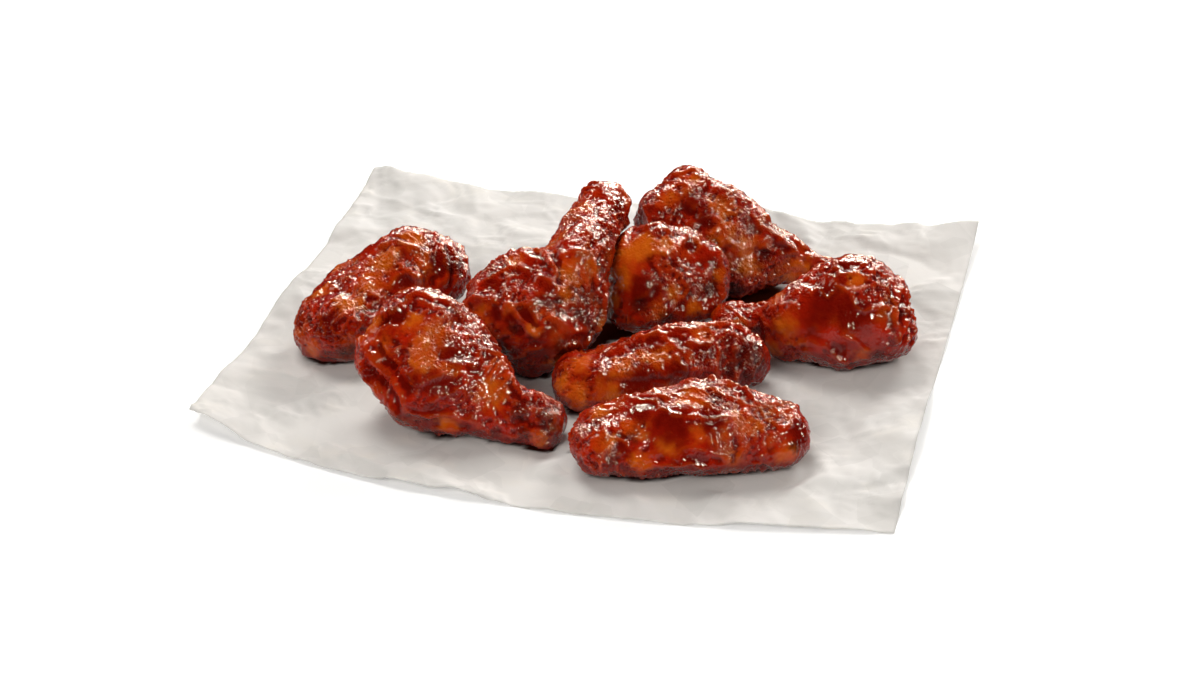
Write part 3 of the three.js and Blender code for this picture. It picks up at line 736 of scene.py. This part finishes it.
paperSheet = {
    "cuts": 6,
    "thick": 0.22,  # mm
    "clear": (1.5, 9.0),  # mm from a wing where creases start, and where they are full
    "crumples": ((27, 2.4, 0.3), (14, 1.5, 1.2), (7, 0.55, 2.3)),  # size and height in mm, turn of facets
    "crackles": ((15, 0.5), (7, 0.3)),  # size and height of sharp small creases
    "lit": (0.5, 0.8, 0.0),  # painted shade: facets that turn away from here are greyed
    "shadowEdge": (1.3, 0.5),  # mm from a wing where painted shadow starts, and where it is full
    "shadowBetween": (5.5, 3.5),  # the same, from the farther one of two wings
    "shadowReach": 5,  # mm, how far from a wing painted shadow is looked for
    "streaks": 170,  # long soft creases
    "streakLength": (10, 42),
    "streakWidth": (0.8, 5.0),
    "streakHeight": (0.06, 0.2),  # of a streak 1 mm wide
    "middle": (120, 108),  # mm, how far from the origin a streak's middle may lie, in x and in y
    "lowest": 0.35,  # mm, how far down a crease may reach
    "upward": 0.35,  # how far up a face looks that belongs to the upper side
}

# where painted shadow lies dark on the paper between the wings, as (x, y, radius)
shadowSpots = [
    (612, 331, 9),
    (628, 330, 7),
    (640, 331, 6),
    (602, 336, 6),
    (745, 296, 7),
    (758, 294, 7),
    (770, 292, 6),
    (733, 297, 5),
    (598, 340, 6),
    (586, 345, 5),
    (738, 303, 6),
    (726, 301, 5),
    (752, 303, 5),
    (766, 300, 5),
]

# sharp creases, as (half width, height, line)
paperCreases = [
    (1.2, 0.6, [(255, 372), (280, 372), (300, 381), (311, 371)]),
    (1.0, -0.5, [(311, 371), (318, 381), (322, 392)]),
    (1.3, -0.6, [(297, 385), (304, 393), (320, 391)]),
    (1.0, 0.5, [(262, 388), (290, 389), (297, 385)]),
    (0.9, 0.5, [(288, 390), (296, 402), (304, 411)]),
    (0.8, -0.4, [(283, 403), (296, 412), (312, 408)]),
    (1.1, -0.5, [(304, 411), (325, 419), (345, 420)]),
    (0.9, 0.5, [(322, 405), (343, 409), (352, 416)]),
    (0.9, 0.4, [(352, 424), (366, 423), (384, 430)]),
    (1.2, 0.6, [(327, 442), (341, 450), (360, 459), (390, 470)]),
    (1.2, 0.5, [(420, 478), (455, 490), (500, 480)]),
    (1.0, -0.5, [(446, 492), (470, 484), (500, 478)]),
    (1.5, 0.6, [(365, 190), (400, 205), (440, 215)]),
    (1.3, -0.5, [(380, 215), (430, 205), (470, 195)]),
    (1.0, 0.5, [(520, 212), (545, 210), (558, 222)]),
    (1.5, 0.6, [(850, 375), (880, 398), (905, 391), (916, 401)]),
    (1.3, -0.5, [(890, 412), (905, 411), (938, 398)]),
    (1.2, 0.5, [(855, 435), (880, 430), (905, 424)]),
    (1.1, 0.6, [(876, 480), (892, 470), (908, 466)]),
    (1.3, -0.6, [(860, 490), (880, 484), (900, 480)]),
    (1.1, 0.5, [(862, 492), (880, 497), (900, 497), (903, 481)]),
    (1.3, -0.5, [(775, 490), (792, 485), (815, 496)]),
    (1.0, 0.4, [(812, 503), (835, 496), (858, 499)]),
    (1.5, 0.6, [(780, 215), (833, 218), (870, 240)]),
    (1.2, -0.5, [(833, 218), (845, 232), (860, 240)]),
]


def finelyMeshed(settings):  # the sheet's upper side, without its underside and edges
    piece = copyOf("paper_sheet", "paper_sheet_creased")
    form = bmesh.new()
    form.from_mesh(piece.data)
    under = [face for face in form.faces if face.normal.z < settings["upward"]]
    bmesh.ops.delete(form, geom=under, context="FACES")
    bmesh.ops.join_triangles(
        form, faces=form.faces, angle_face_threshold=1.0, angle_shape_threshold=3.0
    )
    bmesh.ops.subdivide_edges(form, edges=form.edges, cuts=settings["cuts"], use_grid_fill=True)
    for _ in range(settings["cuts"] * 2):
        bmesh.ops.smooth_vert(form, verts=form.verts, factor=0.5, use_axis_z=True)
    form.to_mesh(piece.data)
    form.free()
    return piece


def shadowOn(p, gap, settings):  # painted shadow around each wing, between two that lie close, and in the spots
    paintedShadow = ramp(*settings["shadowEdge"], gap + 0.4 * lumps(p, 5, 12))
    close = np.flatnonzero(gap < settings["shadowReach"])
    reach = settings["shadowReach"] + 2
    apart = np.sort([distances(treeOf([name]), p[close], reach) for name in wingNames], axis=0)
    between = ramp(*settings["shadowBetween"], apart[1] + lumps(p[close], 4, 14))
    paintedShadow[close] = np.maximum(paintedShadow[close], between)
    for x, y, radius in shadowSpots:
        d = np.linalg.norm(p - seenOn(sheetTree, x, y), axis=1) / radius + 0.3 * lumps(p, 4, 13)
        paintedShadow = np.maximum(paintedShadow, ramp(1.1, 0.6, d))
    return paintedShadow


def streaksOn(p, settings):  # mm, long soft creases that cross one another
    chance = random.Random(7)
    halfWide, halfDeep = settings["middle"]
    rise = np.zeros(len(p))
    for _ in range(settings["streaks"]):
        x, y = chance.uniform(-halfWide, halfWide), chance.uniform(-halfDeep, halfDeep)
        turn = chance.uniform(0, math.pi)
        length = chance.uniform(*settings["streakLength"])
        width = chance.uniform(*settings["streakWidth"])
        height = chance.choice((-1, 1)) * chance.uniform(*settings["streakHeight"]) * width ** 0.8
        ahead = (p[:, 0] - x) * math.cos(turn) + (p[:, 1] - y) * math.sin(turn)
        aside = (p[:, 1] - y) * math.cos(turn) - (p[:, 0] - x) * math.sin(turn)
        aside = aside + 0.12 * length * np.sin(ahead / length * 2.2)
        rise += height * np.exp(-np.abs(aside) / width) * ramp(1, 0.2, np.abs(ahead) / length)
    return rise


def creasesOn(p, settings):  # mm, from streaks to sharp folds
    rise = streaksOn(p, settings)
    flat = p * (1, 1, 0)
    rise += 0.08 * lumps(flat, 6, 3) + 0.6 * lumps(flat, 26, 4)
    for size, height in settings["crackles"]:
        inside, beyond = pimples(flat + 0.3 * size * lumps(flat, size, 8)[:, None], size, size + 2)
        rise += height * ramp(0.11, 0.0, beyond - inside) * ramp(-0.15, 0.35, lumps(flat, 26, size + 5))
    bent = flat + np.stack([lumps(flat, 30, 5), lumps(flat, 30, 6), flat[:, 2]], axis=1) * 9
    for size, height, turn in settings["crumples"]:
        across = bent[:, 0] * math.cos(turn) + bent[:, 1] * math.sin(turn)
        along = bent[:, 1] * math.cos(turn) - bent[:, 0] * math.sin(turn)
        folded = facets(np.stack([across, along], axis=1), size, size)
        rise += height * folded * ramp(-0.6, 0.3, lumps(flat, size * 1.6, size + 9))
    for width, height, line in paperCreases:
        d = toLine(p, [seenOn(sheetTree, x, y) for x, y in line])
        rise += height * np.exp(-d / width)
    return rise


def makePaper(settings):
    piece = finelyMeshed(settings)
    mesh = piece.data
    p = readPoints(mesh)
    gap = distances(treeOf(wingNames), p, settings["clear"][1] + 1)
    # painted shadow on the paper at the wings' feet and in the gaps between them
    paintedShadow = shadowOn(p, gap, settings)
    free = ramp(*settings["clear"], gap)
    before = readNormals(mesh)
    p[:, 2] = np.maximum(p[:, 2] + free * creasesOn(p, settings), settings["lowest"])
    writePoints(mesh, p)
    # painted shade, from how far the creasing turns each point away from the light
    slopeShade = (before - readNormals(mesh)) @ np.array(settings["lit"])
    writeMask(mesh, "slopeShade", 0.5 + 1.4 * slopeShade)
    writeMask(mesh, "paintedShadow", paintedShadow)
    wall = piece.modifiers.new("wall", "SOLIDIFY")
    wall.thickness = settings["thick"] * mm
    wall.offset = -1
    baked(piece)
    piece.data.shade_smooth()
    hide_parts("paper_sheet")
    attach(piece, "root")
    return piece


paper = makePaper(paperSheet)
print("paper made", len(paper.data.vertices), "points")


def newMaterial(name):
    material = bpy.data.materials.new(name)
    material.use_nodes = True
    tree = material.node_tree
    shader = tree.nodes["Principled BSDF"]
    return material, tree, shader


def newNode(tree, kind, **values):  # values are the node's own settings or its inputs
    made = tree.nodes.new(kind)
    for key, value in values.items():
        if hasattr(made, key):
            setattr(made, key, value)
        else:
            made.inputs[key].default_value = value
    return made


def combined(tree, operation, first, second):  # two numbers or masks
    made = newNode(tree, "ShaderNodeMath", operation=operation)
    for socket, value in zip(made.inputs, (first, second)):
        if isinstance(value, (int, float)):
            socket.default_value = value
        else:
            tree.links.new(value, socket)
    return made.outputs[0]


def mixed(tree, mask, first, second):  # the first colour, and the second where the mask is full
    made = newNode(tree, "ShaderNodeMix", data_type="RGBA")
    for socket, value in ((made.inputs[0], mask), (made.inputs[6], first), (made.inputs[7], second)):
        if isinstance(value, tuple):
            socket.default_value = (*value, 1)
        elif isinstance(value, (int, float)):
            socket.default_value = value
        else:
            tree.links.new(value, socket)
    return made.outputs[2]


def overlaid(tree, mask, share, under, over):  # a share of one colour over another, where the mask is
    return mixed(tree, combined(tree, "MULTIPLY", mask, share), under, over)


def spread(tree, value, low, high):  # a mask that is empty at low and full at high
    made = tree.nodes.new("ShaderNodeMapRange")
    made.interpolation_type = "SMOOTHSTEP"
    made.inputs["From Min"].default_value = low
    made.inputs["From Max"].default_value = high
    tree.links.new(value, made.inputs["Value"])
    return made.outputs["Result"]


mottleDetail = {"Patches": 3.0, "Grain": 5.0}


def makeMottle():  # patches and fine grain, used by skin, paper and floor
    group = bpy.data.node_groups.new("mottle", "ShaderNodeTree")
    for label in mottleDetail:
        group.interface.new_socket(label + " Scale", in_out="INPUT", socket_type="NodeSocketFloat")
        group.interface.new_socket(label, in_out="OUTPUT", socket_type="NodeSocketFloat")
    given, out = group.nodes.new("NodeGroupInput"), group.nodes.new("NodeGroupOutput")
    place = group.nodes.new("ShaderNodeTexCoord")
    for label, detail in mottleDetail.items():
        cloud = newNode(group, "ShaderNodeTexNoise", Detail=detail)
        group.links.new(place.outputs["Object"], cloud.inputs["Vector"])
        group.links.new(given.outputs[label + " Scale"], cloud.inputs["Scale"])
        group.links.new(cloud.outputs["Fac"], out.inputs[label])
    return group


mottle = makeMottle()


def placeMottle(tree, patchScale, grainScale=0.0):
    made = newNode(tree, "ShaderNodeGroup", node_tree=mottle)
    made.inputs["Patches Scale"].default_value = patchScale
    made.inputs["Grain Scale"].default_value = grainScale
    return made


glazeLook = {
    "red": (0.38, 0.011, 0.0012),
    "deepRed": (0.12, 0.0022, 0.0005),
    "orange": (0.55, 0.068, 0.0035),
    "paleOrange": (0.66, 0.135, 0.006),
    # near black, for charred skin and for the painted shade between the wings
    "nearBlack": (0.035, 0.003, 0.002),
    "mottle": (150.0, 900.0),  # patches and grains to a metre
    "shade": 0.45,  # this and the next six: how much of a colour goes over the ones below
    "thin": 0.72,
    "deep": 0.85,
    # this darkens the dips: partly pooled sauce, partly painted shade in the hollows
    "pooled": 0.85,
    "worn": 0.16,
    "charred": 0.9,
    # painted shade where wings lie close together
    "contactShade": 0.85,
    "poolsAndShade": (0.52, 0.85),  # of the hollow mask, where pooled sauce and painted shade in the dips start and are full
    "tops": (0.46, 0.2),  # of the hollow mask, where bare tops start and are full
    "roughness": 0.5,
    "filmSmooths": 0.2,  # how much of the roughness a full film takes off
    "coatRoughness": 0.035,
    "coatBend": 1.45,
    "poreScale": 1050.0,
    "poreHeight": 0.85,
    "poreDepth": 0.0004,  # m
    "creaseScale": 430.0,
    "creaseHeight": 0.95,
    "creaseDepth": 0.0007,  # m
}


def colourGlaze(tree, look, masks, grain, patch):
    orange = mixed(tree, patch, look["orange"], look["paleOrange"])
    red = overlaid(tree, patch, look["shade"], look["red"], look["deepRed"])
    colour = overlaid(tree, masks["thin"], look["thin"], red, orange)
    # deep red for thick sauce, and as painted shade on the wings' undersides
    colour = overlaid(tree, masks["deep"], look["deep"], colour, look["deepRed"])
    # dips darkened: sauce pooled there, and painted shade in the hollows
    poolsAndShade = spread(tree, masks["hollow"], *look["poolsAndShade"])
    colour = overlaid(tree, poolsAndShade, look["pooled"], colour, look["deepRed"])
    tops = spread(tree, masks["hollow"], *look["tops"])
    colour = overlaid(tree, tops, look["worn"], colour, look["orange"])
    charred = combined(tree, "ADD", masks["char"], combined(tree, "MULTIPLY", grain, 0.6))
    charred = spread(tree, charred, 0.5, 1.5)
    colour = overlaid(tree, charred, look["charred"], colour, look["nearBlack"])
    # painted shade: near black where a wing lies close to the next
    return overlaid(tree, masks["contactShade"], look["contactShade"], colour, look["nearBlack"])


def bumpGlaze(tree, look, masks, grain):  # creases, and pores on top of them
    place = tree.nodes.new("ShaderNodeTexCoord")
    creases = newNode(tree, "ShaderNodeTexNoise", noise_type="RIDGED_MULTIFRACTAL")
    creases.inputs["Scale"].default_value = look["creaseScale"]
    creases.inputs["Detail"].default_value = 1.5
    creases.inputs["Distortion"].default_value = 1.1
    tree.links.new(place.outputs["Object"], creases.inputs["Vector"])
    loose = combined(tree, "SUBTRACT", 1.0, combined(tree, "MULTIPLY", masks["film"], 0.85))
    coarse = newNode(tree, "ShaderNodeBump", Distance=look["creaseDepth"], Strength=look["creaseHeight"])
    tree.links.new(combined(tree, "MULTIPLY", creases.outputs["Fac"], loose), coarse.inputs["Height"])
    pores = newNode(tree, "ShaderNodeTexVoronoi", Scale=look["poreScale"])
    tree.links.new(place.outputs["Object"], pores.inputs["Vector"])
    height = combined(tree, "ADD", pores.outputs["Distance"], combined(tree, "MULTIPLY", grain, 0.7))
    bare = combined(tree, "ADD", combined(tree, "MULTIPLY", masks["rough"], 0.7), 0.3)
    fine = newNode(tree, "ShaderNodeBump", Distance=look["poreDepth"], Strength=look["poreHeight"])
    tree.links.new(coarse.outputs["Normal"], fine.inputs["Normal"])
    tree.links.new(combined(tree, "MULTIPLY", height, bare), fine.inputs["Height"])
    return fine.outputs["Normal"]


def makeGlaze(look):
    material, tree, shader = newMaterial("glazed_skin")
    masks = {}
    for name in skinMasks:
        masks[name] = newNode(tree, "ShaderNodeAttribute", attribute_name=name).outputs["Fac"]
    mottled = placeMottle(tree, *look["mottle"])
    patch = spread(tree, mottled.outputs["Patches"], 0.35, 0.65)
    grain = mottled.outputs["Grain"]
    tree.links.new(colourGlaze(tree, look, masks, grain, patch), shader.inputs["Base Color"])
    smoother = combined(tree, "MULTIPLY", masks["film"], look["filmSmooths"])
    rough = combined(tree, "SUBTRACT", look["roughness"], smoother)
    tree.links.new(rough, shader.inputs["Roughness"])
    shader.inputs["Specular IOR Level"].default_value = 0.0
    # no gloss in the painted shade where wings lie close
    coat = combined(tree, "SUBTRACT", 1.0, masks["contactShade"])
    tree.links.new(coat, shader.inputs["Coat Weight"])
    shader.inputs["Coat Roughness"].default_value = look["coatRoughness"]
    shader.inputs["Coat IOR"].default_value = look["coatBend"]
    normal = bumpGlaze(tree, look, masks, grain)
    tree.links.new(normal, shader.inputs["Normal"])
    tree.links.new(normal, shader.inputs["Coat Normal"])
    return material


paperLook = {
    "face": (0.845, 0.815, 0.78),
    "shade": (0.80, 0.775, 0.75),
    "warm": (0.855, 0.815, 0.755),
    # grey of the painted shade on the creased paper
    "shadedFacet": (0.57, 0.552, 0.525),
    # painted shadow on the paper by and between the wings
    "paintedShadow": (0.030, 0.004, 0.0015),
    "shadedPlanes": ((0.019, 0.42), (0.008, 0.3)),  # size in m and share of painted shade on the flat parts between creases
    "roughness": 0.7,
    "clouds": 26.0,  # pale and darker patches to a metre
    "fibres": (70.0, 420.0),  # warm patches and grains to a metre
    "fibreDepth": 0.0003,  # m
}


def makePaperLook(look):
    material, tree, shader = newMaterial("baking_paper")
    clouds = spread(tree, placeMottle(tree, look["clouds"]).outputs["Patches"], 0.4, 0.65)
    colour = mixed(tree, clouds, look["face"], look["shade"])
    fibres = placeMottle(tree, *look["fibres"])
    colour = mixed(tree, spread(tree, fibres.outputs["Patches"], 0.5, 0.75), colour, look["warm"])
    # painted shade on facets that turn away from the light
    slopeShade = newNode(tree, "ShaderNodeAttribute", attribute_name="slopeShade").outputs["Fac"]
    colour = mixed(tree, slopeShade, colour, look["shadedFacet"])
    place = tree.nodes.new("ShaderNodeTexCoord")
    # painted shade: some flat cells between creases greyed as if turned from the light
    for size, shadeShare in look["shadedPlanes"]:
        plane = newNode(tree, "ShaderNodeTexVoronoi", Scale=1 / size)
        tree.links.new(place.outputs["Object"], plane.inputs["Vector"])
        tone = tree.nodes.new("ShaderNodeSeparateColor")
        tree.links.new(plane.outputs["Color"], tone.inputs["Color"])
        colour = overlaid(tree, spread(tree, tone.outputs["Red"], 0.5, 1.0), shadeShare, colour, look["shadedFacet"])
    # painted shadow: dark red-brown around and between the wings
    paintedShadow = newNode(tree, "ShaderNodeAttribute", attribute_name="paintedShadow").outputs["Fac"]
    colour = mixed(tree, paintedShadow, colour, look["paintedShadow"])
    tree.links.new(colour, shader.inputs["Base Color"])
    shader.inputs["Roughness"].default_value = look["roughness"]
    shader.inputs["Specular IOR Level"].default_value = 0.0
    bump = newNode(tree, "ShaderNodeBump", Distance=look["fibreDepth"], Strength=0.25)
    tree.links.new(fibres.outputs["Grain"], bump.inputs["Height"])
    tree.links.new(bump.outputs["Normal"], shader.inputs["Normal"])
    return material


floorLook = {
    "reach": 3.0,  # m
    "face": (0.93, 0.93, 0.93),
    "patchGrey": 0.995,  # how light its patches are beside the rest
    "patchScale": 3.0,
    "roughness": 0.9,
    "glow": 0.14,
}


def makeFloor(look):
    mesh = bpy.data.meshes.new("floor")
    form = bmesh.new()
    bmesh.ops.create_circle(form, cap_ends=True, radius=look["reach"], segments=64)
    form.to_mesh(mesh)
    form.free()
    floor = bpy.data.objects.new("floor", mesh)
    bpy.context.collection.objects.link(floor)
    material, tree, shader = newMaterial("floor")
    patchColour = tuple(part * look["patchGrey"] for part in look["face"])
    patch = placeMottle(tree, look["patchScale"]).outputs["Patches"]
    tree.links.new(mixed(tree, patch, look["face"], patchColour), shader.inputs["Base Color"])
    shader.inputs["Roughness"].default_value = look["roughness"]
    shader.inputs["Specular IOR Level"].default_value = 0.1
    shader.inputs["Emission Color"].default_value = (1, 1, 1, 1)
    shader.inputs["Emission Strength"].default_value = look["glow"]
    mesh.materials.append(material)
    floor.visible_glossy = False


makeFloor(floorLook)
glaze = makeGlaze(glazeLook)
for wing in wings:
    wing.data.materials.clear()
    wing.data.materials.append(glaze)
paper.data.materials.clear()
paper.data.materials.append(makePaperLook(paperLook))
print("materials made")
